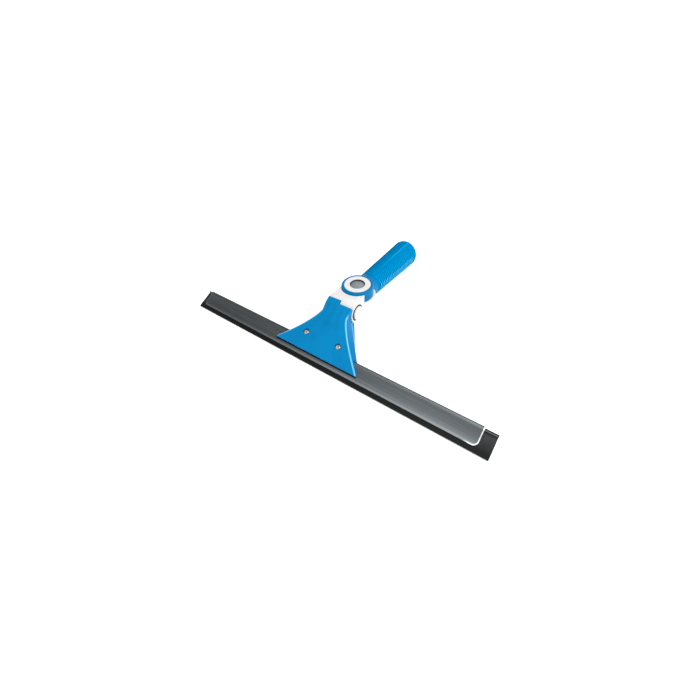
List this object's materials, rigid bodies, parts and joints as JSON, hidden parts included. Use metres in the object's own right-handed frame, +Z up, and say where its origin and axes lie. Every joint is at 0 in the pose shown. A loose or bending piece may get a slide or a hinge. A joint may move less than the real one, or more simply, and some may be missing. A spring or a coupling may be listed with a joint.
{
  "type": "window cleaning squeegee",
  "caption": "Window squeegee: rubber blade in a metal channel, fan-shaped clamp on a tilting hinge, and a swivelling grip with a release button and a pole socket.",
  "frame": {"origin": "on the table, under the middle of the squeegee's outline seen from above, as it lies on its rubber edge and the end of its grip", "axes": "+X along the blade, +Y from the blade towards the end of the grip, +Z up along the swivel axis"},
  "size_m": [0.3676, 0.2228, 0.0448],
  "materials": {
    "blade_rubber": "matt, slightly dusty",
    "channel_metal": "dark grey, brushed along its length",
    "small_steel": "bright turned steel",
    "blue_plastic": "satin moulded plastic",
    "grip_blue": "soft-touch ribbed grip",
    "white_plastic": "satin moulded plastic",
    "button_grey": "satin grey",
    "wear_plastic": "plain moulded"
  },
  "bodies": {
    "handle": {"handle_core": "blue_plastic", "grip_sleeve": "grip_blue", "socket_liner": "blue_plastic"},
    "knuckle": {"knuckle": "white_plastic", "hub_cap": "white_plastic", "tilt_pin": "small_steel", "tilt_sleeves": "small_steel", "pin_caps": "white_plastic", "friction_washers": "small_steel", "glide_ring": "wear_plastic", "spring_plug": "wear_plastic"},
    "button": {"swivel_button": "button_grey", "lock_ring": "wear_plastic", "button_spring": "small_steel"},
    "blade_head": {"rubber_blade": "blade_rubber", "blade_channel": "channel_metal", "channel_pin": "small_steel", "front_shell": "blue_plastic", "rear_shell": "blue_plastic", "clamp_screws": "small_steel", "clamp_nuts": "small_steel"}
  },
  "joints": [
    {"name": "swivel", "type": "hinge", "parent": "handle", "child": "knuckle", "pos_m": [-0.00325, -0.01659, 0.038], "axis": [0, 0, 1], "range_deg": [-70, 70]},
    {"name": "head_tilt", "type": "hinge", "parent": "knuckle", "child": "blade_head", "pos_m": [-0.00325, -0.04359, 0.031], "axis": [-1, 0, 0], "range_deg": [-40, 20]},
    {"name": "button_press", "type": "slide", "parent": "knuckle", "child": "button", "axis": [0, 0, -1], "range_m": [0, 0.0022], "stiffness_N_per_m": 1500, "springref_m": -0.001, "deforming": ["button_spring"]}
  ]
}
